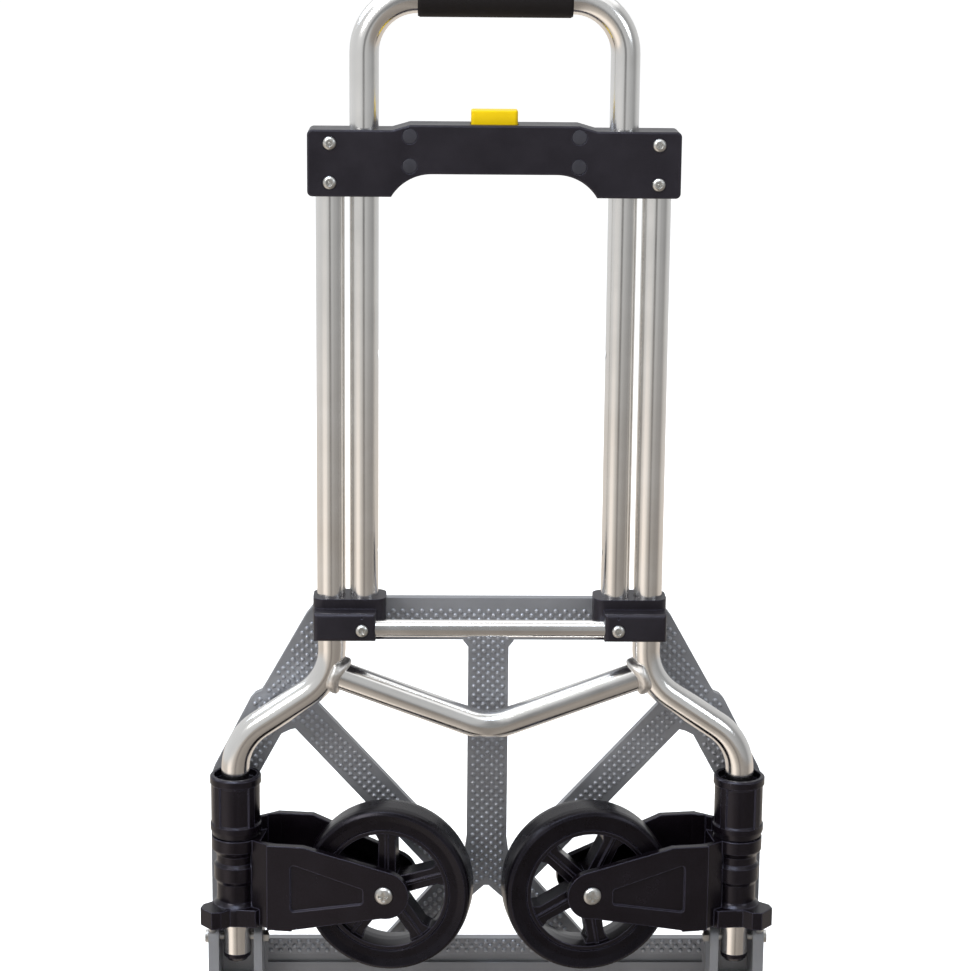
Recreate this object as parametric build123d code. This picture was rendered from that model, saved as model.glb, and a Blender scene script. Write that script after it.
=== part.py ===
from build123d import *
import math
import os

os.makedirs("parts", exist_ok=True)

# ---------------------------------------------------------------- driving dimensions, mm
# X runs across the truck, +Y points to the load side, +Z is up. While the pieces are
# drawn the two legs stand in the plane y = 0; everything is moved by SHIFT_Y at export.
SHIFT_Y = 5.697

TUBE_R = 10.0            # side, brace and handle tubes
TUBE_WALL = 1.5
FIT = 0.06               # radial running clearance on tubes and pins
SIDE_X = 111.0           # upper part of the side tubes
HANDLE_X = 88.0          # handle tubes
LEG_X = 179.5            # lower legs
TOP_Z = 722.0            # centreline of the handle's cross part
SIDE_TOP_Z = 632.0
UPPER_BEND_Z = 247.4     # where the side tube starts to lean out
LOWER_BEND_Z = 201.0
LEG_END_Z = 42.4
TUBE_BEND_R = 40.0
HANDLE_BEND_R = 36.0
HANDLE_END_Z = 284.0

BRACE_Z = (251.5, 210.3)  # brace height at the side tubes and in the middle

GRIP_LEN = 104.0
GRIP_R = 12.5

HOUSING_HALF = 126.0
HOUSING_Z = (590.0, 635.0)
HOUSING_CROWN_Z = 638.5
HOUSING_HALF_Y = 16.0
ARCH_Z = 605.5
CAVITY = (73.0, 13.0, 608.5, 632.0)   # half width, half depth, floor, ceiling
PIN_Z = 620.0            # height of the lock pins
BUTTON_TRAVEL = 5.0
PIN_TRAVEL = 4.0
MARK_AT = [(57.0, 631.0), (57.0, 611.0)]
HOUSING_RIVET_Z = (626.0, 599.4)

CLAMP_X = (72.5, 123.5)
CLAMP_Z = (280.0, 308.5)
CLAMP_HALF_Y = 14.0
BLOCK_Z = (281.5, 301.5)
BLOCK_FRONT_Y = -27.0
BAR_Y, BAR_Z, BAR_R = -19.5, 289.5, 6.0
BAR_HALF = 96.0
CLAMP_RIVET_X = 89.0

HINGE_Z = 53.0           # axis the platform folds about
HINGE_PIN_R = 2.5
EAR_IN = (12.5, 18.5)    # inner ear, measured from the leg axis
EAR_OUT = (12.5, 20.0)   # outer ear
EAR_R = 10.5
PEG_OFFSET = 17.0
PEG_RADIUS = 21.2
PEG_R = 2.5
PEG_REACH = 25.2         # furthest the peg's ball gets from the leg axis, in the flange's slot

COLLAR_R = 18.2
COLLAR_Z = (131.0, 137.0, 176.0)
BRACKET_Z = (67.0, 130.5)
FLANGE_TOP = 80.0
SWING_REST = 8.0         # the folded brackets stand this far open, degrees
AXLE_X = 110.0
AXLE_Z = 98.5
AXLE_R = 4.0
FORK_Y = (-21.0, 24.0)
ARM_T = 5.5
ARM_END_R = 17.5
POCKET_DEPTH = 2.0
WHEEL_R = 60.0
WHEEL_Y = 1.5            # middle plane of the wheel from the leg axis
TREAD_W = 29.5
RIM_R = 45.0             # where the tyre sits on the rim
HUB_W = 33.0
SLOT_W = 9.6             # radial drive slot in the bracket's flange

LOAD_Y = 21.0            # load face of the folded platform
PLATE_DEPTH = 7.0
PLATE_SKIN = 2.8
RIB_T = 2.6


# ---------------------------------------------------------------- helpers
def ring(outer, inner):
    """Flat ring used as the section of every tube."""
    return Circle(outer) - Circle(inner)


def swept(path, section):
    """Sweep a section along a path, set square to its start."""
    return sweep(Plane(path @ 0, z_dir=path % 0) * section, path=path)


def cyl_z(r, z0, z1, x=0.0, y=0.0):
    return Pos(x, y, z0) * Cylinder(r, z1 - z0, align=(Align.CENTER, Align.CENTER, Align.MIN))


def cyl_y(r, y0, y1, x=0.0, z=0.0):
    return Pos(x, y0, z) * Rot(-90, 0, 0) * Cylinder(
        r, y1 - y0, align=(Align.CENTER, Align.CENTER, Align.MIN))


def cyl_x(r, x0, x1, y=0.0, z=0.0):
    return Pos(x0, y, z) * Rot(0, 90, 0) * Cylinder(
        r, x1 - x0, align=(Align.CENTER, Align.CENTER, Align.MIN))


def block(x0, x1, y0, y1, z0, z1):
    return Pos((x0 + x1) / 2, (y0 + y1) / 2, (z0 + z1) / 2) * Box(
        abs(x1 - x0), abs(y1 - y0), abs(z1 - z0))


def slab(points, y0, y1, fillets=0.0):
    """Extrude an outline of (x, z) points from y0 to y1."""
    face = Plane.XZ * make_face(Polyline(*points, close=True))
    if fillets:
        face = fillet(face.vertices(), fillets)
    return Pos(0, y1, 0) * extrude(face, amount=y1 - y0, dir=(0, -1, 0))


def plan(points, z0, z1):
    """Extrude an outline of (x, y) points from z0 to z1."""
    return Pos(0, 0, z0) * extrude(make_face(Polyline(*points, close=True)), amount=z1 - z0)


def turned(points):
    """Solid of revolution about Z from (radius, z) points."""
    return revolve(Plane.XZ * make_face(Polyline(*points, close=True)), axis=Axis.Z)


def mirrored(shape):
    """The same piece on the other side of the truck."""
    return mirror(shape, about=Plane.YZ)


def coil(radius, wire, z0, z1, turns):
    """Wire spring standing on Z."""
    path = Pos(0, 0, z0) * Helix(pitch=(z1 - z0) / turns, height=z1 - z0, radius=radius)
    return sweep(Plane(path @ 0, z_dir=path % 0) * Circle(wire), path=path, is_frenet=True)


def one(shape):
    """The largest solid of a result, or a compound when there are several real pieces."""
    solids = [s for s in shape.solids() if s.volume > 0.5]
    return solids[0] if len(solids) == 1 else Compound(children=solids)


# ---------------------------------------------------------------- frame
def side_path():
    return FilletPolyline(
        (-SIDE_X, 0, SIDE_TOP_Z), (-SIDE_X, 0, UPPER_BEND_Z),
        (-LEG_X, 0, LOWER_BEND_Z), (-LEG_X, 0, LEG_END_Z), radius=TUBE_BEND_R)


def side_tube():
    """Left side tube: upright, slanted part and leg, drilled for rivets and hinge pin."""
    tube = swept(side_path(), ring(TUBE_R, TUBE_R - TUBE_WALL))
    for z in HOUSING_RIVET_Z:
        tube -= cyl_y(2.4, -12, 12, x=-SIDE_X, z=z)
    return one(tube - cyl_x(HINGE_PIN_R, -LEG_X - 12, -LEG_X + 12, z=HINGE_Z))


def side_rod(radius):
    """The side tube's path as a plain rod, used for coping and for the weld beads."""
    return swept(side_path(), Circle(radius))


def brace_rod(section):
    path = FilletPolyline((-SIDE_X, 0, BRACE_Z[0]), (0, 0, BRACE_Z[1]),
                          (SIDE_X, 0, BRACE_Z[0]), radius=TUBE_BEND_R)
    return swept(path, section)


def brace_tube():
    """V-shaped brace, coped to sit on both side tubes."""
    left = side_rod(TUBE_R)
    return one(brace_rod(ring(TUBE_R, TUBE_R - TUBE_WALL)) - left - mirrored(left))


def weld_beads():
    """Fillet of weld metal all round each end of the brace."""
    bead = brace_rod(Circle(TUBE_R + 2.8)) & side_rod(TUBE_R + 4.0)
    bead = one(bead - side_rod(TUBE_R) - brace_rod(Circle(TUBE_R)))
    return Compound(children=[bead, mirrored(bead)])


def leg_plug():
    """Plastic plug in the open end of the left leg."""
    return Pos(-LEG_X, 0, 0) * turned([
        (0, 36.4), (7.2, 36.4), (9.6, 39.2), (10, 42.4), (8.5, 42.4), (8.5, 49.0), (0, 49.0)])


def hinge_pin():
    """Headed pin through both ears and the left leg, with its lock nut inboard."""
    pin = cyl_x(HINGE_PIN_R, -LEG_X - 20.5, -LEG_X + 23.0, z=HINGE_Z)
    pin += cyl_x(4.6, -LEG_X - 22.8, -LEG_X - 20.2, z=HINGE_Z)
    pin += Pos(-LEG_X + 18.8, 0, HINGE_Z) * Rot(0, 90, 0) * extrude(
        RegularPolygon(4.6, 6), amount=3.6)
    return pin


def thrust_washer():
    """Steel washer on the leg that carries the wheel bracket."""
    return cyl_z(12.0, 64.4, 66.7, x=-LEG_X) - cyl_z(TUBE_R, 60, 70, x=-LEG_X)


def spring_collar():
    """Fixed collar above the left wheel bracket, with a recessed top and spring chamber."""
    low, mid, top = COLLAR_Z
    waist = COLLAR_R - 1.0
    body = turned([
        (TUBE_R, low), (COLLAR_R - 1.7, low), (COLLAR_R, mid - 1), (COLLAR_R, mid + 3),
        (waist, mid + 4.2), (waist, top - 7), (COLLAR_R, top - 5.8), (COLLAR_R, top - 1),
        (COLLAR_R - 1, top), (15.2, top), (15.2, top - 5.5), (TUBE_R, top - 5.5)])
    for turn in (-47, 47, 133, 227):
        body += Rot(0, 0, turn) * block(waist - 1, COLLAR_R - 0.1, -2.6, 2.6, mid + 3, top - 6)
    chamber = turned([(10.6, low + 3), (15.0, low + 3), (15.0, top - 12), (10.6, top - 12)])
    return Pos(-LEG_X, 0, 0) * one(body - chamber)


def torsion_spring():
    """Return spring inside the left collar."""
    return Pos(-LEG_X, 0, 0) * coil(13.0, 0.9, COLLAR_Z[0] + 4.4, COLLAR_Z[2] - 13.4, 9)


# ---------------------------------------------------------------- upper crossbar
def housing_face():
    """Front view of the moulded crossbar: raised crown, rounded ends, shallow arch below."""
    low, end_top = HOUSING_Z
    crown, end = 57.0, 69.0
    edges = Curve()
    for side in (-1, 1):
        edges += Line((0, HOUSING_CROWN_Z), (side * crown, HOUSING_CROWN_Z))
        edges += Line((side * crown, HOUSING_CROWN_Z), (side * end, end_top))
        edges += Line((side * end, end_top), (side * HOUSING_HALF, end_top))
        edges += Line((side * HOUSING_HALF, end_top), (side * HOUSING_HALF, low))
        edges += Line((side * HOUSING_HALF, low), (side * 69.5, low))
        edges += ThreePointArc((side * 69.5, low), (side * 58.5, 601.0), (side * 42.0, ARCH_Z))
        edges += Line((side * 42.0, ARCH_Z), (0, ARCH_Z))
    face = make_face(edges.edges())
    ends = face.vertices().filter_by(lambda v: abs(v.X) > HOUSING_HALF - 1)
    return Plane.XZ * fillet(ends, 3.5)


def housing_solid():
    """Both shells as one block with the tube bores, cavity, button mouth and bosses."""
    body = extrude(housing_face(), amount=HOUSING_HALF_Y, both=True)
    rim = body.edges().filter_by(lambda e: abs(abs(e.center().Y) - HOUSING_HALF_Y) < 0.01)
    body = chamfer(rim, 1.0)
    half_x, half_y, floor, ceiling = CAVITY
    body -= slab([(-half_x, 612), (-half_x, 630), (-60, ceiling), (60, ceiling), (half_x, 630),
                  (half_x, 612), (48, floor), (-48, floor)], -half_y, half_y)
    body -= block(-16.3, 16.3, -8.3, 8.3, ceiling - 1, HOUSING_CROWN_Z + 1)
    for side in (-1, 1):
        for x, z in MARK_AT:
            body += cyl_y(4.4, -half_y - 1, half_y + 1, x=side * x, z=z)
            body -= cyl_y(5.3, -17, -HOUSING_HALF_Y + 0.4, x=side * x, z=z)
            body -= cyl_y(1.6, -6, 17, x=side * x, z=z)
            body -= cyl_y(3.2, HOUSING_HALF_Y - 3, 17, x=side * x, z=z)
        for z in HOUSING_RIVET_Z:
            body -= cyl_y(2.4, -20, 20, x=side * SIDE_X, z=z)
        body -= cyl_z(TUBE_R + FIT, 580, 650, x=side * HANDLE_X)
        body -= cyl_z(TUBE_R, 580, SIDE_TOP_Z, x=side * SIDE_X)
        inner, outer = sorted((side * 72, side * 79))
        body -= cyl_x(3.1, inner, outer, z=PIN_Z)
    return body


def housing_front(body):
    return one(body & block(-200, 200, -30, 0, 500, 700))


def housing_back(body):
    return one(body & block(-200, 200, 0, 30, 500, 700))


def dome_rivet(r_shank, r_head, y_front, y_back, x, z, tail=True):
    """Blind rivet along Y: low domed head, ring recess and the end of its mandrel."""
    head = Pos(x, y_front, z) * Rot(90, 0, 0) * turned(
        [(0, 0), (r_head, 0), (r_head * 0.9, 0.9), (r_head * 0.68, 1.6), (r_head * 0.5, 1.8),
         (r_head * 0.46, 0.7), (1.0, 0.7), (0.8, 1.2), (0, 1.3)])
    body = cyl_y(r_shank, y_front, y_back, x=x, z=z) + head
    if tail:
        body += cyl_y(r_head * 0.9, y_back, y_back + 1.4, x=x, z=z)
    return body


def housing_rivets():
    """Four rivets that hold the crossbar to the side tubes."""
    return Compound(children=[
        dome_rivet(2.38, 4.6, -HOUSING_HALF_Y, HOUSING_HALF_Y, side * SIDE_X, z)
        for side in (-1, 1) for z in HOUSING_RIVET_Z])


def housing_screws():
    """Four screws that close the two shells from behind."""
    screws = []
    for side in (-1, 1):
        for x, z in MARK_AT:
            head = cyl_y(3.1, HOUSING_HALF_Y - 2.9, HOUSING_HALF_Y - 0.6, x=side * x, z=z)
            head += cyl_y(1.57, -5.9, HOUSING_HALF_Y - 2.9, x=side * x, z=z)
            head -= block(side * x - 2, side * x + 2, HOUSING_HALF_Y - 1.5, 17, z - .4, z + .4)
            head -= block(side * x - .4, side * x + .4, HOUSING_HALF_Y - 1.5, 17, z - 2, z + 2)
            screws.append(head)
    return Compound(children=screws)


# ---------------------------------------------------------------- release
def release_button():
    """Push button with a cam plate: two slanted slots draw the lock pins inward."""
    cap = block(-15.8, 15.8, -7.8, 7.8, 631.9, 648.0)
    cap = fillet(cap.edges().filter_by(Axis.Z), 2.5)
    cap = fillet(cap.faces().sort_by(Axis.Z)[-1].edges(), 1.2)
    plate = block(-22, 22, -3, 3, 615.0, 631.8)
    hub = block(-7, 7, -6.5, 6.5, 615.0, 632.5)
    body = cap + plate + hub - cyl_z(4.4, 600, 628)
    run = math.hypot(PIN_TRAVEL, BUTTON_TRAVEL)
    lean = math.degrees(math.atan2(BUTTON_TRAVEL, -PIN_TRAVEL))
    for side in (-1, 1):
        turn = lean if side > 0 else 180 - lean
        mid = (side * (16 - PIN_TRAVEL / 2), PIN_Z + BUTTON_TRAVEL / 2)
        slot = Plane.XZ * Pos(mid[0], mid[1]) * Rot(0, 0, turn) * SlotCenterToCenter(run, 4.16)
        body -= Pos(0, 10, 0) * extrude(slot, amount=20, dir=(0, -1, 0))
    return one(body)


def button_spring():
    """Compression spring that lifts the button."""
    return coil(3.4, 0.45, 609.1, 627.4, 7)


def lock_pin():
    """Right lock pin: round nose, offset tongue and the peg that rides the cam slot."""
    pin = cyl_x(3.0, 30, 76.2, z=PIN_Z) + Pos(76.2, 0, PIN_Z) * Rot(0, 90, 0) * turned(
        [(0, 0), (3.0, 0), (1.9, 1.3), (0, 1.3)])
    pin += block(28, 34, -3.0, 6.6, PIN_Z - 4, PIN_Z + 4)
    pin += block(13, 30, 3.4, 6.6, PIN_Z - 4, PIN_Z + 4)
    return pin + cyl_y(2.0, -3.0, 4.0, x=16, z=PIN_Z)


# ---------------------------------------------------------------- handle
def handle_tube():
    """U-shaped telescopic handle with lock holes on the inner faces."""
    path = FilletPolyline((-HANDLE_X, 0, HANDLE_END_Z), (-HANDLE_X, 0, TOP_Z),
                          (HANDLE_X, 0, TOP_Z), (HANDLE_X, 0, HANDLE_END_Z),
                          radius=HANDLE_BEND_R)
    tube = swept(path, ring(TUBE_R, TUBE_R - TUBE_WALL))
    for z in (PIN_Z, PIN_Z - 140, PIN_Z - 280):
        tube -= cyl_x(3.3, -HANDLE_X + 2, HANDLE_X - 2, z=z)
    return one(tube)


def hand_grip():
    """Soft sleeve on the handle's cross part, slightly barrelled at its ends."""
    half = GRIP_LEN / 2
    profile = [(TUBE_R, -half), (GRIP_R - 0.8, -half), (GRIP_R, -half + 1.6),
               (GRIP_R, half - 1.6), (GRIP_R - 0.8, half), (TUBE_R, half)]
    return Pos(0, 0, TOP_Z) * Rot(0, 90, 0) * turned(profile)


def slide_clamp():
    """Left clamp: fixed to the handle tube, sliding on the side tube."""
    body = block(-CLAMP_X[1], -CLAMP_X[0], -CLAMP_HALF_Y, CLAMP_HALF_Y, *CLAMP_Z)
    body = fillet(body.edges().filter_by(Axis.Z), 8)
    foot = block(-CLAMP_X[1] + 1, -79.5, BLOCK_FRONT_Y, -6, *BLOCK_Z)
    fronts = foot.edges().filter_by(lambda e: e.center().Y < BLOCK_FRONT_Y + 0.1)
    body += fillet(fronts, 3.0)
    body -= cyl_z(TUBE_R + FIT, 270, 320, x=-SIDE_X)
    body -= cyl_z(TUBE_R, HANDLE_END_Z, 320, x=-HANDLE_X)
    body -= cyl_x(BAR_R, -BAR_HALF, -70, y=BAR_Y, z=BAR_Z)
    body -= cyl_y(2.0, -30, -12.5, x=-CLAMP_RIVET_X, z=BAR_Z)
    body -= cyl_y(1.0, -30, BLOCK_FRONT_Y + 0.6, x=-CLAMP_RIVET_X, z=BAR_Z + 9.3)
    return one(body)


def lower_crossbar():
    """Thin tube that ties the two clamps together."""
    bar = cyl_x(BAR_R, -BAR_HALF, BAR_HALF, y=BAR_Y, z=BAR_Z)
    bar -= cyl_x(BAR_R - 1.0, -BAR_HALF - 1, BAR_HALF + 1, y=BAR_Y, z=BAR_Z)
    for side in (-1, 1):
        bar -= cyl_y(2.0, -30, -10, x=side * CLAMP_RIVET_X, z=BAR_Z)
    return one(bar)


def clamp_rivets():
    """One rivet per clamp through the end of the lower crossbar."""
    return Compound(children=[
        dome_rivet(1.98, 4.5, BLOCK_FRONT_Y, -12.6, side * CLAMP_RIVET_X, BAR_Z, tail=False)
        for side in (-1, 1)])


# ---------------------------------------------------------------- wheel brackets
def arm_outline(top_z):
    """Side view of a fork arm: deep at the sleeve, tapering to the axle boss."""
    high = math.pi / 2 - math.atan2(top_z - AXLE_Z - 16, 58)
    low = math.radians(-96)
    upper, lower = [(AXLE_X + ARM_END_R * math.cos(a), AXLE_Z + ARM_END_R * math.sin(a))
                    for a in (high, low)]
    return [(26, 67.6), (44, 68.6), lower, (AXLE_X, AXLE_Z), upper, (52, top_z), (26, top_z)]


def fork_arm(y0, y1, top_z):
    arm = slab(arm_outline(top_z), y0, y1)
    return arm + cyl_y(ARM_END_R, y0, y1, x=AXLE_X, z=AXLE_Z)


def bracket_local():
    """Wheel bracket about its own leg axis, fork along +X."""
    base, top = BRACKET_Z
    near, far = FORK_Y
    sleeve = turned([(0, base), (17.4, base), (17.4, 79), (14.6, 82), (14.0, 83), (14.0, 96),
                     (15.8, 99), (15.8, 109.3), (14.0, 111.5), (14.0, 117), (17.4, 121.5),
                     (17.4, top), (0, top)])
    root = plan([(13.5, -10.5), (32, near), (44, near), (44, far), (27, far), (4, 15)], 67.6, top)
    root += plan([(-16, -13), (-14, -17), (17, -17), (20, -13), (20, 0), (-16, 0)], base, FLANGE_TOP)
    root += plan([(14, 12), (27, far), (44, far), (44, far - ARM_T), (24, far - ARM_T - 2),
                  (14, 8)], 120, 141)
    root -= plan([(20, near + 10), (35, near + ARM_T), (70, near + ARM_T), (70, far - ARM_T),
                  (29, far - ARM_T), (20, far - 9)], 73, 150)
    body = sleeve + root + fork_arm(near, near + ARM_T, 131) + fork_arm(far - ARM_T, far, 141)
    # flange lobe that carries the drive slot, on the outer front corner
    lobe_dir = 180 + 41 + SWING_REST
    body += Rot(0, 0, lobe_dir) * (
        plan([(0, -10.5), (22, -10.5), (27.5, -6.5), (27.5, 6.5), (22, 10.5), (0, 10.5)], base, FLANGE_TOP))
    slot = block(14.3, PEG_REACH + 1.0, -SLOT_W / 2, SLOT_W / 2, 60, 78)
    body -= Rot(0, 0, lobe_dir) * slot
    body -= cyl_z(19.0, top, 150)
    body -= cyl_z(TUBE_R + FIT, 50, 150)
    body -= cyl_y(AXLE_R, near - 5, far + 5, x=AXLE_X, z=AXLE_Z)
    pocket = [(43, 118), (43, 82), (95, 91), (95, 102)]
    body -= slab(pocket, near - 1, near + POCKET_DEPTH, fillets=2.5)
    body -= slab(pocket, far - POCKET_DEPTH, far + 1, fillets=2.5)
    # the wheel's own space between the arms
    body -= cyl_y(WHEEL_R + 3.5, near + ARM_T, far - ARM_T, x=AXLE_X, z=AXLE_Z)
    return one(body)


def axle_bolt_local():
    """Pan-head bolt through the fork with a crossed recess."""
    near, far = FORK_Y
    bolt = cyl_y(AXLE_R, near, far + 6, x=AXLE_X, z=AXLE_Z)
    bolt += Pos(AXLE_X, near, AXLE_Z) * Rot(90, 0, 0) * turned(
        [(0, 0), (6.4, 0), (6.2, 1.2), (5.0, 2.4), (2.5, 3.0), (0, 3.0)])
    for lx, lz in ((3.6, 1.0), (1.0, 3.6)):
        bolt -= block(AXLE_X - lx, AXLE_X + lx, near - 4, near - 1.4, AXLE_Z - lz, AXLE_Z + lz)
    return bolt


def axle_nut_local():
    """Nut on the far arm."""
    far = FORK_Y[1]
    nut = Pos(AXLE_X, far + 5.2, AXLE_Z) * Rot(90, 0, 0) * extrude(
        RegularPolygon(7.5, 6), amount=5.2)
    return nut - cyl_y(AXLE_R, far - 5, far + 10, x=AXLE_X, z=AXLE_Z)


# ---------------------------------------------------------------- wheels
def wheel_at(shape):
    """Stand a wheel piece, drawn about Z, on the bracket's axle."""
    return Pos(AXLE_X, WHEEL_Y, AXLE_Z) * Rot(90, 0, 0) * shape


def tyre_local():
    """Solid tyre with rounded shoulders and a step down to the rim."""
    h = TREAD_W / 2
    shoulder = WHEEL_R - 1.4
    return wheel_at(turned([
        (RIM_R, -11), (RIM_R + 0.5, -13.0), (51.5, -13.2), (shoulder - 2.0, -h),
        (shoulder, -h + 1.2), (shoulder + 1.0, -h + 4), (WHEEL_R, -h + 8),
        (WHEEL_R, h - 8), (shoulder + 1.0, h - 4), (shoulder, h - 1.2),
        (shoulder - 2.0, h), (51.5, 13.2), (RIM_R + 0.5, 13.0), (RIM_R, 11)]))


def wheel_hub_local(first_spoke):
    """Five-spoke centre: rim with a middle web ring, ribbed spokes and a hub barrel."""
    rim = turned([(42.0, -12.6), (RIM_R, -12.6), (RIM_R, 12.6), (42.0, 12.6),
                  (41.0, 3.0), (41.0, -3.0)])
    barrel = cyl_z(11.0, -HUB_W / 2, HUB_W / 2)
    spokes = barrel
    for k in range(5):
        web = plan([(8, -6.5), (36, -6.0), (42.5, -9.5), (42.5, 9.5), (36, 6.0), (8, 6.5)], -8.5, 8.5)
        spoke = web + block(8, 42.5, -1.2, 1.2, -9.8, 9.8)
        spokes += Rot(0, 0, first_spoke + 72 * k) * spoke
    return wheel_at(one(rim + spokes - cyl_z(6.0, -30, 30)))


def wheel_bush_local():
    """Bearing bush pressed in the hub, running on the axle bolt."""
    return wheel_at(cyl_z(6.0, -HUB_W / 2, HUB_W / 2) - cyl_z(AXLE_R + FIT, -30, 30))


def place_left(shape):
    """Set a bracket piece on the left leg in the folded position."""
    return Pos(-LEG_X, 0, 0) * Rot(0, 0, -SWING_REST) * shape


# ---------------------------------------------------------------- platform
def strip(p, q, width, y0, y1):
    """Straight rib of the casting between two (x, z) points."""
    (x0, z0), (x1, z1) = p, q
    length = math.hypot(x1 - x0, z1 - z0)
    nx, nz = -(z1 - z0) / length * width / 2, (x1 - x0) / length * width / 2
    return slab([(x0 + nx, z0 + nz), (x1 + nx, z1 + nz), (x1 - nx, z1 - nz), (x0 - nx, z0 - nz)],
                y0, y1)


def half_web(inset, y0, y1):
    """Left half of the open casting: top bar, slanted side, post, diagonal, spine."""
    k = inset
    side = [(-109 + k * 1.2, 300 - k), (-122 + k * 0.4, 297.5 - k), (-130 + k * 1.0, 287 - k * 0.5),
            (-159.5 + k, 234.5), (-162 + k, 230.5), (-166.5 + k, 228.5), (-170 + k, 224.5),
            (-196.5 + k, 173), (-199 + k, 166), (-199 + k, 2 + k), (-169 - k, 2 + k),
            (-169 - k, 160), (-109.5 - k * 1.5, 269.2 + k),
            (0, 269.2 + k), (0, 300 - k)]
    web = slab(side, y0, y1)
    web += strip((-137, 219.5), (-8, 77.6), 24.4 - 2 * k, y0, y1)
    web += slab([(-18 + k, 272), (-18 + k, 268.3), (-14.4 + k, 263.8), (-14.4 + k, 120),
                 (-16 + k, 108), (-22 + k, 98), (-36 + k * 2, 86), (-26 + k, 70 + k),
                 (-16.5, 75 + k), (-11.5, 80.5 + k), (-6, 83 + k), (0, 83.5 + k), (0, 272)],
                y0, y1)
    web += strip((-22, 86), (-70, 30), 22 - 2 * k, y0, y1)
    web += slab([(-148 + k, 206), (-139 - k, 212), (-134 - k, 208), (-136, 203 + k),
                 (-142, 201.5 + k), (-149, 198)], y0, y1)
    return web


def beam_half():
    """Left half of the bottom beam with its long slots and the groove above them."""
    beam = block(-163, 0, LOAD_Y, LOAD_Y + PLATE_DEPTH, 0, 42)
    beam -= block(-159, 0, LOAD_Y - 1, LOAD_Y + 3, 23.5, 30.0)
    for x0, x1 in ((-156, -71), (-46.5, 46.5)):
        hole = block(x0, x1, LOAD_Y - 5, LOAD_Y + 20, 4.5, 15)
        beam -= fillet(hole.edges().filter_by(Axis.Y), 4)
    beam -= block(-160, 0, LOAD_Y + PLATE_SKIN, LOAD_Y + 20, 32.6, 39.5)
    return beam


def ear(x0, x1, bore):
    """One hinge ear: round over the pin, then a straight front edge down to the floor."""
    foot = block(x0, x1, -EAR_R, LOAD_Y + 1, 0, HINGE_Z)
    toe = foot.edges().filter_by(Axis.X).filter_by(lambda e: e.center().Y < 0 and e.center().Z < 1)
    lug = cyl_x(EAR_R, x0, x1, z=HINGE_Z) + fillet(toe, 2.5)
    lug += block(x0, x1, 0, LOAD_Y + 1, HINGE_Z - 1, HINGE_Z + EAR_R)
    return lug - cyl_x(bore, x0 - 1, x1 + 1, z=HINGE_Z)


def peg_solid(radius, r0):
    """Drive peg: a short pin standing 45 degrees forward of straight up, ball-ended."""
    stem = Cylinder(radius, PEG_RADIUS - r0, align=(Align.CENTER, Align.CENTER, Align.MIN))
    peg = Pos(0, 0, r0) * stem + Pos(0, 0, PEG_RADIUS) * Sphere(radius)
    return Pos(-LEG_X - PEG_OFFSET, 0, HINGE_Z) * Rot(45, 0, 0) * peg


def platform_casting():
    """Folding load platform, cast in one piece with four hinge ears."""
    face = half_web(0, LOAD_Y, LOAD_Y + PLATE_DEPTH)
    face -= half_web(RIB_T, LOAD_Y + PLATE_SKIN, LOAD_Y + 20) & block(-400, 0, 0, 60, 45, 400)
    half = face + beam_half()
    half += block(-197, -163, LOAD_Y - 9, LOAD_Y + PLATE_DEPTH, 0, 15)
    half += ear(-LEG_X - EAR_OUT[1], -LEG_X - EAR_OUT[0], HINGE_PIN_R + FIT)
    half += ear(-LEG_X + EAR_IN[0], -LEG_X + EAR_IN[1], HINGE_PIN_R + FIT)
    half -= peg_solid(PEG_R, 6.0)
    half -= cyl_x(HINGE_PIN_R + FIT, -LEG_X - 30, -LEG_X + 30, z=HINGE_Z)
    return one(half + mirrored(half))


# ---------------------------------------------------------------- all pieces
def build():
    housing = housing_solid()
    left = {
        "side_tube": side_tube(), "leg_plug": leg_plug(), "hinge_pin": hinge_pin(),
        "thrust_washer": thrust_washer(), "spring_collar": spring_collar(),
        "torsion_spring": torsion_spring(), "slide_clamp": slide_clamp(),
        "wheel_bracket": place_left(bracket_local()), "axle_bolt": place_left(axle_bolt_local()),
        "axle_nut": place_left(axle_nut_local()), "tyre": place_left(tyre_local()),
        "wheel_bush": place_left(wheel_bush_local()), "drive_peg": peg_solid(PEG_R, 6.0),
    }
    nodes = {}
    for name, shape in left.items():
        nodes["left_" + name] = shape
        nodes["right_" + name] = mirrored(shape)
    nodes["right_lock_pin"] = lock_pin()
    nodes["left_lock_pin"] = mirrored(lock_pin())
    nodes["left_wheel_hub"] = place_left(wheel_hub_local(90))
    nodes["right_wheel_hub"] = mirrored(place_left(wheel_hub_local(116)))
    nodes.update({
        "brace_tube": brace_tube(), "weld_beads": weld_beads(),
        "housing_front": housing_front(housing), "housing_back": housing_back(housing),
        "housing_rivets": housing_rivets(), "housing_screws": housing_screws(),
        "release_button": release_button(), "button_spring": button_spring(),
        "handle_tube": handle_tube(), "hand_grip": hand_grip(),
        "lower_crossbar": lower_crossbar(), "clamp_rivets": clamp_rivets(),
        "platform_casting": platform_casting(),
    })
    return nodes


if __name__ == "__main__":
    low, high = [1e9] * 3, [-1e9] * 3
    for name, shape in build().items():
        placed = Pos(0, SHIFT_Y, 0) * shape
        export_step(placed, f"parts/{name}.step")
        box = placed.bounding_box()
        low = [min(a, b) for a, b in zip(low, (box.min.X, box.min.Y, box.min.Z))]
        high = [max(a, b) for a, b in zip(high, (box.max.X, box.max.Y, box.max.Z))]
        print(f"{name:22s} solids {len(placed.solids())} volume {placed.volume:10.1f}"
              f" y {box.min.Y:7.2f} {box.max.Y:7.2f} z {box.min.Z:7.2f} {box.max.Z:7.2f}")
    print("low", [round(v, 3) for v in low], "high", [round(v, 3) for v in high],
          "mid y", round((low[1] + high[1]) / 2, 3))
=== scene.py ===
import math

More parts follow.
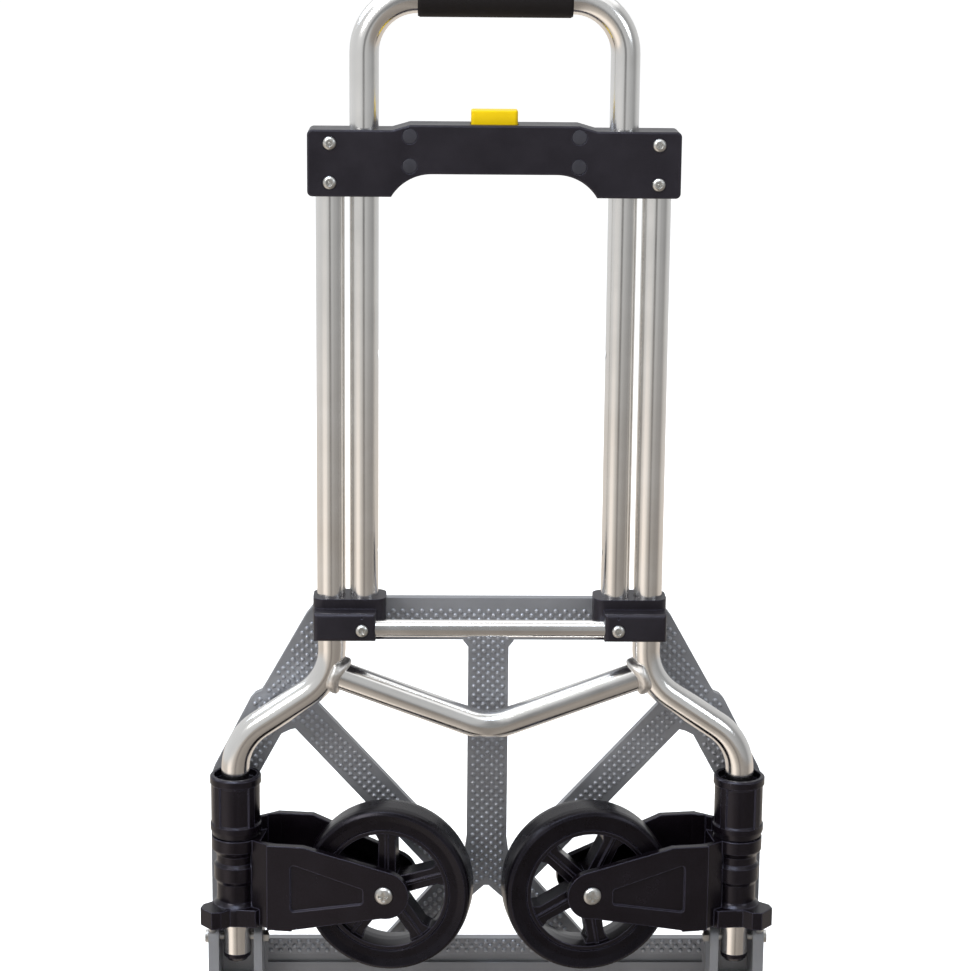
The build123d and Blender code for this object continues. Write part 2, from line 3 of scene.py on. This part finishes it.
import bmesh
import bpy
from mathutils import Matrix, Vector
from mathutils.bvhtree import BVHTree


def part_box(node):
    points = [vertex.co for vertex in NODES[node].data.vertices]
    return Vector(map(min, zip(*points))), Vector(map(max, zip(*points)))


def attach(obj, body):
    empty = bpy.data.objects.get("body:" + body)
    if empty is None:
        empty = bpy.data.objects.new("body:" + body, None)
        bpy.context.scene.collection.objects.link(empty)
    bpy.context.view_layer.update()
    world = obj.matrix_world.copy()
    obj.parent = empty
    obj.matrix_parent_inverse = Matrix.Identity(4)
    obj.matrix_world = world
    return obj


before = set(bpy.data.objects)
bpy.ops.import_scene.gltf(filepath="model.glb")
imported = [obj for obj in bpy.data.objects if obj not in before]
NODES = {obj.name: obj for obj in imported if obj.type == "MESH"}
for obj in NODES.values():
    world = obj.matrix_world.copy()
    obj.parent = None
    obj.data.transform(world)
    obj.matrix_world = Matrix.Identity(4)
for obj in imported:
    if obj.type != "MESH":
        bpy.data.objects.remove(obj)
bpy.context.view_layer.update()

MM = 0.001

# ---------------------------------------------------------------- sizes, metres
PLATE_DEPTH = 7 * MM          # thickness of the platform, load face to underside
STUD_PITCH_X = 6.8 * MM       # studs stand in staggered rows on the load face
STUD_PITCH_Z = 3.3 * MM
STUD_RADIUS = 1.75 * MM       # at the foot of the dome
STUD_HEIGHT = 1.5 * MM
STUD_BORDER = 3.7 * MM        # plain edge round every rib
TOP_BAND = 6.6 * MM           # plain band along the platform's free edge
BEAM_TOP = 42 * MM            # up to here the studs belong to the bottom beam
BEAM_LOW = 32.2 * MM          # the beam has studs above its groove only
BEAM_BORDER = 2.1 * MM        # plain edge of the beam, narrower than the ribs
FACE_SLACK = 0.2 * MM         # a ray that lands this near the load face has hit it
WELD_GRAIN = 0.45 * MM        # finest feature kept on the weld beads
WELD_SWELL = 0.9 * MM         # how far the beads swell before they are rounded over
WELD_PASSES = 14              # smoothing passes over the beads
MARK_X = 57 * MM              # round marks on the crossbar, in the CAD's shallow recesses
MARK_Z = (631 * MM, 611 * MM)
MARK_RADIUS = 5.0 * MM
MARK_RECESS = 0.4 * MM
FLOOR_HALF_SIZE = 30.0
FLOOR_LIFT = 0.50             # how much the floor is lifted to white, for the camera only
COOL_SHEEN = (0.90, 0.86, 1.0, 1.0)   # tint of the sheen on black plastic and rubber


# ---------------------------------------------------------------- fine relief, metres
TEXTURE_RELIEF = 0.12 * MM    # spark texture of mouldings and rubber
METAL_RELIEF = 0.2 * MM       # drawing lines, paint peel, plating
FOAM_RELIEF = 0.3 * MM
WELD_RELIEF = 0.5 * MM


# ---------------------------------------------------------------- node helpers
class Nodes:
    """Small wrapper that adds and links shader nodes."""

    def __init__(self, name, slot):
        self.material = bpy.data.materials.new(name)
        self.material.use_nodes = True
        self.tree = self.material.node_tree
        self.shader = self.tree.nodes["Principled BSDF"]
        self.slot = slot
        self.place = self.add("ShaderNodeTexCoord").outputs["Object"]

    def add(self, kind, **settings):
        """New shader node with its settings."""
        node = self.tree.nodes.new(kind)
        for key, value in settings.items():
            setattr(node, key, value)
        return node

    def link(self, source, target):
        self.tree.links.new(source, target)

    def stretched(self, scale):
        """The object's own coordinates, scaled per axis, so grain can run one way."""
        mapping = self.add("ShaderNodeMapping")
        mapping.inputs["Scale"].default_value = scale
        self.link(self.place, mapping.inputs["Vector"])
        return mapping.outputs["Vector"]

    def noise(self, scale, detail=3.0, rough=0.55, vector=None):
        """Cloudy value in the object's own coordinates, or in stretched ones."""
        noise = self.add("ShaderNodeTexNoise")
        noise.inputs["Scale"].default_value = scale
        noise.inputs["Detail"].default_value = detail
        noise.inputs["Roughness"].default_value = rough
        self.link(vector or self.place, noise.inputs["Vector"])
        return noise.outputs["Fac"]

    def span(self, value, low, high, from_low=0.3, from_high=0.7):
        """Map a noise value to the range low..high."""
        node = self.add("ShaderNodeMapRange")
        for key, number in zip(("From Min", "From Max", "To Min", "To Max"),
                               (from_low, from_high, low, high)):
            node.inputs[key].default_value = number
        self.link(value, node.inputs["Value"])
        return node.outputs["Result"]

    def blend(self, value, dark, light):
        """Colour that runs from dark to light with a value."""
        ramp = self.add("ShaderNodeValToRGB")
        ramp.color_ramp.elements[0].position = 0.3
        ramp.color_ramp.elements[1].position = 0.7
        ramp.color_ramp.elements[0].color = (*dark, 1)
        ramp.color_ramp.elements[1].color = (*light, 1)
        self.link(value, ramp.inputs["Fac"])
        return ramp.outputs["Color"]

    def bump(self, height, strength, distance, under=None):
        """Fine relief, laid over another normal if one is given."""
        node = self.add("ShaderNodeBump")
        node.inputs["Strength"].default_value = strength
        node.inputs["Distance"].default_value = distance
        self.link(height, node.inputs["Height"])
        if under:
            self.link(under, node.inputs["Normal"])
        return node.outputs["Normal"]

    def rounded(self, radius):
        """Normal that softens sharp edges the way a moulded or cast edge is soft."""
        node = self.add("ShaderNodeBevel", samples=4)
        node.inputs["Radius"].default_value = radius
        return node.outputs["Normal"]

    def painted_edge_highlight(self, tone, soft_normal, light):
        """Painted highlight: lighter colour along every edge, where the softened normal parts from the
        true one.
        """
        compare = self.add("ShaderNodeVectorMath", operation="DOT_PRODUCT")
        self.link(soft_normal, compare.inputs[0])
        self.link(self.add("ShaderNodeNewGeometry").outputs["True Normal"], compare.inputs[1])
        mix = self.add("ShaderNodeMix", data_type="RGBA")
        self.link(self.span(compare.outputs["Value"], 1.0, 0.0, 0.78, 0.985), mix.inputs["Factor"])
        self.link(tone, mix.inputs["A"])
        mix.inputs["B"].default_value = (*light, 1)
        return mix.outputs["Result"]

    def finish(self, color=None, roughness=None, normal=None, **constants):
        """Connect the shader; constants are set straight on its sockets."""
        for value, socket in ((color, "Base Color"), (roughness, "Roughness"), (normal, "Normal")):
            if value is not None:
                self.link(value, self.shader.inputs[socket])
        for key, number in constants.items():
            self.shader.inputs[key.replace("_", " ")].default_value = number
        return self


def drawn_aluminium(name, along):
    """Polished drawn tube: fine lines along the tube, faint handling marks."""
    m = Nodes(name, "polished_tube")
    scale = [420.0, 420.0, 420.0]
    scale[along] = 5.0
    lines = m.noise(1.0, 2.0, vector=m.stretched(scale))
    cloud = m.noise(22.0, 4.0)
    tone = m.blend(cloud, (0.84, 0.825, 0.805), (0.92, 0.912, 0.90))
    normal = m.bump(lines, 0.03, METAL_RELIEF)
    return m.finish(tone, m.span(cloud, 0.15, 0.23), normal, Metallic=1.0)


def weld_metal():
    """Cooled weld: rippled, a little duller than the tube."""
    m = Nodes("weld_aluminium", "weld_metal")
    ripple = m.noise(420.0, 2.0)
    tone = m.blend(ripple, (0.74, 0.72, 0.69), (0.90, 0.88, 0.86))
    return m.finish(tone, m.span(ripple, 0.34, 0.5), m.bump(ripple, 0.32, WELD_RELIEF), Metallic=1.0)


def moulded_plastic(name, slot, dark, light, rough, edge=0.5 * MM, grain=0.18, shine=0.35,
                    edge_highlight=None):
    """Injection moulded plastic: fine spark texture, soft edges, faint rub marks; given an edge
    colour, a painted highlight along every edge.
    """
    m = Nodes(name, slot)
    fine = m.noise(2600.0, 2.0)
    rub = m.noise(34.0, 5.0, 0.6)
    tone = m.blend(rub, dark, light)
    soft = m.rounded(edge)
    if edge_highlight:
        # painted highlight: lighter colour along every edge
        tone = m.painted_edge_highlight(tone, soft, edge_highlight)
    normal = m.bump(fine, grain, TEXTURE_RELIEF, soft)
    return m.finish(tone, m.span(rub, rough[0], rough[1]), normal, Specular_IOR_Level=shine,
                    Specular_Tint=COOL_SHEEN)


def tyre_rubber():
    """Solid tyre: satin black with a dry bloom, and a painted highlight along every edge."""
    m = Nodes("tyre_black", "tyre_rubber")
    bloom = m.noise(60.0, 6.0, 0.65)
    fine = m.noise(1800.0, 2.0)
    tone = m.blend(bloom, (0.0016, 0.0010, 0.0017), (0.0040, 0.0030, 0.0042))
    soft = m.rounded(1.4 * MM)
    # painted highlight: lighter colour along every edge
    tone = m.painted_edge_highlight(tone, soft, (0.024, 0.022, 0.034))
    normal = m.bump(fine, 0.16, TEXTURE_RELIEF, soft)
    return m.finish(tone, m.span(bloom, 0.23, 0.33), normal, Specular_IOR_Level=0.22,
                    Specular_Tint=COOL_SHEEN)


def grip_foam():
    """Closed-cell grip: matte, fine pores."""
    m = Nodes("grip_black", "grip_rubber")
    pores = m.noise(1500.0, 4.0, 0.7)
    tone = m.blend(pores, (0.0050, 0.0034, 0.0034), (0.0100, 0.0074, 0.0074))
    return m.finish(tone, m.span(pores, 0.55, 0.72), m.bump(pores, 0.35, FOAM_RELIEF),
                    Specular_IOR_Level=0.2)


def cast_grey(name, dark, light, rough):
    """Grey casting: satin metallic paint over a lightly orange-peeled surface."""
    m = Nodes(name, "cast_grey")
    peel = m.noise(900.0, 3.0)
    cloud = m.noise(14.0, 4.0, 0.6)
    tone = m.blend(cloud, dark, light)
    normal = m.bump(peel, 0.22, METAL_RELIEF, m.rounded(0.6 * MM))
    return m.finish(tone, m.span(cloud, rough[0], rough[1]), normal, Metallic=0.55)


def plated_steel(name, slot, dark, light, rough):
    """Zinc-plated or plain steel hardware."""
    m = Nodes(name, slot)
    cloud = m.noise(260.0, 4.0, 0.6)
    tone = m.blend(cloud, dark, light)
    normal = m.bump(cloud, 0.08, METAL_RELIEF, m.rounded(0.3 * MM))
    return m.finish(tone, m.span(cloud, rough[0], rough[1]), normal, Metallic=1.0)


def make_materials():
    """Every finish on the truck; colours are linear, roughness is a low-high pair."""
    return {
        "tube_up": drawn_aluminium("aluminium_upright", along=2),
        "tube_across": drawn_aluminium("aluminium_across", along=0),
        "weld": weld_metal(),
        "black": moulded_plastic(
            "plastic_black", "black_plastic",
            dark=(0.0085, 0.0070, 0.0090), light=(0.014, 0.0120, 0.0150), rough=(0.32, 0.43),
            # the last colour is a painted highlight along every edge
            edge=0.9 * MM, edge_highlight=(0.040, 0.039, 0.055)),
        "bracket": moulded_plastic(
            "plastic_bracket", "black_plastic",
            dark=(0.0024, 0.0014, 0.0024), light=(0.0050, 0.0036, 0.0052), rough=(0.20, 0.28),
            # the last colour is a painted highlight along every edge
            edge=1.5 * MM, grain=0.12, shine=0.34, edge_highlight=(0.042, 0.039, 0.058)),
        "mark": moulded_plastic(
            "plastic_gate_mark", "black_plastic",
            dark=(0.027, 0.026, 0.030), light=(0.038, 0.037, 0.042), rough=(0.30, 0.40)),
        "wheel": moulded_plastic(
            "plastic_wheel", "wheel_plastic",
            dark=(0.0022, 0.0014, 0.0023), light=(0.0045, 0.0034, 0.0046), rough=(0.20, 0.28),
            # the last colour is a painted highlight along every edge
            edge=1.5 * MM, grain=0.12, shine=0.36, edge_highlight=(0.042, 0.038, 0.056)),
        "yellow": moulded_plastic(
            "plastic_yellow", "yellow_plastic",
            dark=(0.74, 0.49, 0.0), light=(0.80, 0.535, 0.0), rough=(0.36, 0.46),
            grain=0.1, shine=0.2),
        "nylon": moulded_plastic(
            "nylon_natural", "bearing_nylon",
            dark=(0.55, 0.53, 0.47), light=(0.66, 0.64, 0.58), rough=(0.4, 0.5)),
        "tyre": tyre_rubber(),
        "grip": grip_foam(),
        "grey": cast_grey(
            "casting_grey",
            dark=(0.232, 0.234, 0.248), light=(0.290, 0.292, 0.306), rough=(0.36, 0.50)),
        # studs: the casting's own grey made lighter, a painted highlight on the domes
        "stud_painted_highlight": cast_grey(
            "casting_stud_painted_highlight",
            dark=(0.31, 0.315, 0.338), light=(0.37, 0.375, 0.40), rough=(0.26, 0.34)),
        "zinc": plated_steel(
            "steel_zinc", "zinc_steel",
            dark=(0.50, 0.50, 0.48), light=(0.70, 0.69, 0.67), rough=(0.26, 0.4)),
        "spring": plated_steel(
            "steel_spring", "spring_steel",
            dark=(0.28, 0.28, 0.28), light=(0.42, 0.41, 0.40), rough=(0.3, 0.42)),
    }


# which finish each CAD node shows, by the last words of its name
FINISH = {
    "tube_up": ("side_tube", "handle_tube"),
    "tube_across": ("brace_tube", "lower_crossbar"),
    "weld": ("weld_beads",),
    "black": ("housing_front", "housing_back", "slide_clamp"),
    "bracket": ("spring_collar", "leg_plug", "wheel_bracket"),
    "wheel": ("wheel_hub",),
    "yellow": ("release_button",),
    "nylon": ("wheel_bush",),
    "tyre": ("tyre",),
    "grip": ("hand_grip",),
    "grey": ("platform_casting",),
    "zinc": ("housing_rivets", "housing_screws", "clamp_rivets", "hinge_pin", "thrust_washer",
             "axle_bolt", "axle_nut", "drive_peg", "lock_pin"),
    "spring": ("torsion_spring", "button_spring"),
}


def dress_nodes(materials):
    """Give every CAD node its finish, on the object's own slots."""
    for finish, endings in FINISH.items():
        for name, obj in NODES.items():
            if name.endswith(endings):
                for slot in obj.material_slots:
                    slot.link = "OBJECT"
                    slot.material = materials[finish].material


def soften_welds():
    """Round the beads over, as metal does when it cools."""
    for name, obj in NODES.items():
        if name.endswith("weld_beads"):
            even = obj.modifiers.new("even", "REMESH")
            even.mode = "VOXEL"
            even.voxel_size = WELD_GRAIN
            even.use_smooth_shade = True
            swell = obj.modifiers.new("swell", "DISPLACE")
            swell.strength = WELD_SWELL
            swell.mid_level = 0.0
            relax = obj.modifiers.new("relax", "SMOOTH")
            relax.factor = 0.5
            relax.iterations = WELD_PASSES


def mesh_piece(name, bm, finish, body):
    """Turn a bmesh into a piece of the model that rides on a body."""
    mesh = bpy.data.meshes.new(name)
    bm.to_mesh(mesh)
    bm.free()
    obj = bpy.data.objects.new(name, mesh)
    bpy.context.scene.collection.objects.link(obj)
    for polygon in mesh.polygons:
        polygon.use_smooth = True
    mesh.materials.append(finish.material)
    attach(obj, body)
    return obj


# ---------------------------------------------------------------- platform studs
def stud_places():
    """Staggered lattice over the load face, kept off the edges of every rib."""
    casting = NODES["platform_casting"]
    low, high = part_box("platform_casting")
    face_y = high.y - PLATE_DEPTH
    tree = BVHTree.FromPolygons([v.co for v in casting.data.vertices],
                                [p.vertices for p in casting.data.polygons])
    ring = [(math.cos(k * math.pi / 4), math.sin(k * math.pi / 4)) for k in range(8)]

    def on_face(x, z):
        hit = tree.ray_cast(Vector((x, face_y - 0.002, z)), Vector((0, 1, 0)))[0]
        return hit is not None and abs(hit.y - face_y) < FACE_SLACK

    places = []
    rows = int((high.z - low.z) / STUD_PITCH_Z)
    columns = int(high.x / STUD_PITCH_X) + 1
    for row in range(rows):
        z = low.z + row * STUD_PITCH_Z
        if z > high.z - TOP_BAND or z < low.z + BEAM_LOW:
            continue
        border = BEAM_BORDER if z < low.z + BEAM_TOP else STUD_BORDER
        for column in range(-columns, columns + 1):
            x = (column + 0.5 * (row % 2)) * STUD_PITCH_X
            if on_face(x, z) and all(on_face(x + border * dx, z + border * dz) for dx, dz in ring):
                places.append(Vector((x, face_y, z)))
    return places


def add_stud(bm, place, sides=10):
    """One low dome, apex towards the load."""
    rings = []
    for radius, height in ((1.0, 0.0), (0.86, 0.5), (0.5, 0.86)):
        rings.append([bm.verts.new(place + Vector((
            STUD_RADIUS * radius * math.cos(2 * math.pi * k / sides),
            -STUD_HEIGHT * height,
            STUD_RADIUS * radius * math.sin(2 * math.pi * k / sides)))) for k in range(sides)])
    apex = bm.verts.new(place + Vector((0, -STUD_HEIGHT, 0)))
    for lower, upper in zip(rings, rings[1:]):
        for k in range(sides):
            bm.faces.new((lower[k], lower[(k + 1) % sides], upper[(k + 1) % sides], upper[k]))
    for k in range(sides):
        bm.faces.new((rings[-1][k], rings[-1][(k + 1) % sides], apex))


def platform_studs(finish):
    """All the domes on the load face, as one piece that folds with the platform."""
    bm = bmesh.new()
    for place in stud_places():
        add_stud(bm, place)
    bmesh.ops.recalc_face_normals(bm, faces=bm.faces)
    return mesh_piece("platform_studs", bm, finish, "platform")


# ---------------------------------------------------------------- housing marks
def disc(bm, centre, radius, depth, sides=40):
    """Flat button with a rounded rim, standing out of a face that looks to -Y."""
    rings = []
    for share, out in ((1.0, 0.0), (1.0, 0.55), (0.955, 1.0), (0.86, 0.8)):
        rings.append([bm.verts.new(centre + Vector((
            radius * share * math.cos(2 * math.pi * k / sides), -depth * out,
            radius * share * math.sin(2 * math.pi * k / sides)))) for k in range(sides)])
    for lower, upper in zip(rings, rings[1:]):
        for k in range(sides):
            bm.faces.new((lower[k], lower[(k + 1) % sides], upper[(k + 1) % sides], upper[k]))
    bm.faces.new(rings[-1])
    bm.faces.new(list(reversed(rings[0])))


def housing_marks(finish):
    """Four round gate marks on the crossbar's front, set in its shallow recesses."""
    low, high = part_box("housing_front")
    floor_y = low.y + MARK_RECESS
    bm = bmesh.new()
    for side in (-1, 1):
        for z in MARK_Z:
            disc(bm, Vector((side * MARK_X, floor_y, z)), MARK_RADIUS, MARK_RECESS * 0.7)
    bmesh.ops.recalc_face_normals(bm, faces=bm.faces)
    return mesh_piece("housing_marks", bm, finish, "frame")


# ---------------------------------------------------------------- stage
def stage_floor():
    """Matt pale floor, lifted to the white of the sweep for the camera, unseen by the metal."""
    bm = bmesh.new()
    bmesh.ops.create_grid(bm, x_segments=1, y_segments=1, size=FLOOR_HALF_SIZE)
    mesh = bpy.data.meshes.new("floor")
    bm.to_mesh(mesh)
    bm.free()
    floor = bpy.data.objects.new("floor", mesh)
    bpy.context.scene.collection.objects.link(floor)
    material = bpy.data.materials.new("floor_pale")
    material.use_nodes = True
    tree = material.node_tree
    shader = tree.nodes["Principled BSDF"]
    shader.inputs["Base Color"].default_value = (0.9, 0.9, 0.9, 1)
    shader.inputs["Roughness"].default_value = 0.9
    shader.inputs["Specular IOR Level"].default_value = 0.1
    shader.inputs["Emission Color"].default_value = (1, 1, 1, 1)
    lift = map_range(tree, tree.nodes.new("ShaderNodeLightPath").outputs["Is Camera Ray"],
                     0.0, 1.0, 0.0, FLOOR_LIFT)
    tree.links.new(lift, shader.inputs["Emission Strength"])
    mesh.materials.append(material)
    floor.visible_glossy = False


def softbox(name, place, target, size, power, color=(1, 1, 1)):
    """Rectangular area light that looks from one place at another."""
    light = bpy.data.lights.new(name, "AREA")
    light.shape = "RECTANGLE"
    light.size, light.size_y = size
    light.energy = power
    light.color = color
    obj = bpy.data.objects.new(name, light)
    obj.location = place
    obj.rotation_euler = (Vector(target) - Vector(place)).to_track_quat("-Z", "Y").to_euler()
    bpy.context.scene.collection.objects.link(obj)


# brightness of the room, by degrees round from the camera side (right is positive)
ROOM_HIGH = ((-180, 0.78), (-95, 0.68), (-60, 0.64), (-14, 0.62), (-7, 0.20), (2, 0.18), (8, 0.58),
             (40, 0.42), (75, 0.30), (100, 0.55), (180, 0.78))
ROOM_LOW = ((-180, 0.78), (-110, 0.68), (-75, 0.62), (-58, 1.15), (-40, 1.10), (-22, 0.55), (-7, 0.42),
            (0, 0.18), (10, 0.36), (38, 0.29), (70, 0.28), (95, 0.62), (180, 0.78))
WARM_LOW = (1.0, 0.90, 0.80)
WARM_HIGH = (0.985, 0.995, 1.0)


def room_ramp(tree, angle, stops, tint):
    """Colour ramp round the room from (degrees, level) stops."""
    ramp = tree.nodes.new("ShaderNodeValToRGB")
    elements = ramp.color_ramp.elements
    while len(elements) < len(stops):
        elements.new(0.5)
    for element, (degrees, level) in zip(elements, stops):
        element.position = (degrees + 180) / 360
        element.color = (level * tint[0], level * tint[1], level * tint[2], 1)
    tree.links.new(angle, ramp.inputs["Fac"])
    return ramp.outputs["Color"]


def map_range(tree, value, from_low, from_high, low, high):
    """Output socket that maps one range of a value to another."""
    node = tree.nodes.new("ShaderNodeMapRange")
    for key, number in zip(("From Min", "From Max", "To Min", "To Max"),
                           (from_low, from_high, low, high)):
        node.inputs[key].default_value = number
    tree.links.new(value, node.inputs["Value"])
    return node.outputs["Result"]


def studio_world():
    """A white sweep to look at, and a dimmer room with soft bright sides for the metal to reflect."""
    world = bpy.data.worlds.new("studio")
    bpy.context.scene.world = world
    world.use_nodes = True
    tree = world.node_tree
    place = tree.nodes.new("ShaderNodeTexCoord")
    split = tree.nodes.new("ShaderNodeSeparateXYZ")
    tree.links.new(place.outputs["Generated"], split.inputs[0])
    away = tree.nodes.new("ShaderNodeMath")
    away.operation = "MULTIPLY"
    away.inputs[1].default_value = -1.0
    tree.links.new(split.outputs["Y"], away.inputs[0])
    turn = tree.nodes.new("ShaderNodeMath")
    turn.operation = "ARCTAN2"
    tree.links.new(split.outputs["X"], turn.inputs[0])
    tree.links.new(away.outputs[0], turn.inputs[1])
    angle = map_range(tree, turn.outputs[0], -math.pi, math.pi, 0.0, 1.0)
    height = map_range(tree, split.outputs["Z"], -0.23, -0.17, 0.0, 1.0)
    mix = tree.nodes.new("ShaderNodeMix")
    mix.data_type = "RGBA"
    tree.links.new(height, mix.inputs["Factor"])
    tree.links.new(room_ramp(tree, angle, ROOM_LOW, WARM_LOW), mix.inputs["A"])
    tree.links.new(room_ramp(tree, angle, ROOM_HIGH, WARM_HIGH), mix.inputs["B"])
    room = tree.nodes["Background"]
    tree.links.new(mix.outputs["Result"], room.inputs["Color"])
    sweep = tree.nodes.new("ShaderNodeBackground")
    sweep.inputs["Color"].default_value = (1, 1, 1, 1)
    sweep.inputs["Strength"].default_value = 1.0
    path = tree.nodes.new("ShaderNodeLightPath")
    pick = tree.nodes.new("ShaderNodeMixShader")
    tree.links.new(path.outputs["Is Camera Ray"], pick.inputs["Fac"])
    tree.links.new(room.outputs[0], pick.inputs[1])
    tree.links.new(sweep.outputs[0], pick.inputs[2])
    tree.links.new(pick.outputs[0], tree.nodes["World Output"].inputs["Surface"])


def studio_lights():
    """Warm key from the left, cool fills on the edges and a wide overhead; power in watts."""
    truck = (0, 0, 0.35)
    floor_centre = (0, 0, 0)
    softbox("key_left", (-1.7, -1.9, 1.9), truck, (0.9, 0.9), 30, (1.0, 0.99, 0.97))
    softbox("fill_right", (2.0, -1.7, 1.5), truck, (0.8, 0.8), 9, (0.88, 0.94, 1.0))
    softbox("overhead", (0.0, 0.1, 2.6), floor_centre, (4.2, 4.2), 36)
    softbox("cool_rim", (-1.5, 0.7, 1.9), truck, (0.9, 0.9), 16, (0.78, 0.87, 1.0))
    softbox("cool_strip", (-0.5, -0.8, 2.3), truck, (1.4, 0.5), 24, (0.72, 0.84, 1.0))


def studio_camera():
    """Seen from just above the crossbar, looking a little down, long lens."""
    data = bpy.data.cameras.new("camera")
    data.sensor_width = 36.0          # millimetres
    data.lens = 94.94
    data.shift_y = -0.08
    data.clip_end = 80.0
    camera = bpy.data.objects.new("camera", data)
    camera.location = (-0.0425, -1.7291, 0.7974)
    camera.rotation_euler = (1.3689, -0.0092, -0.0200)
    bpy.context.scene.collection.objects.link(camera)
    bpy.context.scene.camera = camera


# ---------------------------------------------------------------- build
materials = make_materials()
dress_nodes(materials)
soften_welds()
platform_studs(materials["stud_painted_highlight"])
housing_marks(materials["mark"])
stage_floor()
studio_world()
studio_lights()
studio_camera()
bpy.context.scene.view_settings.view_transform = "Standard"
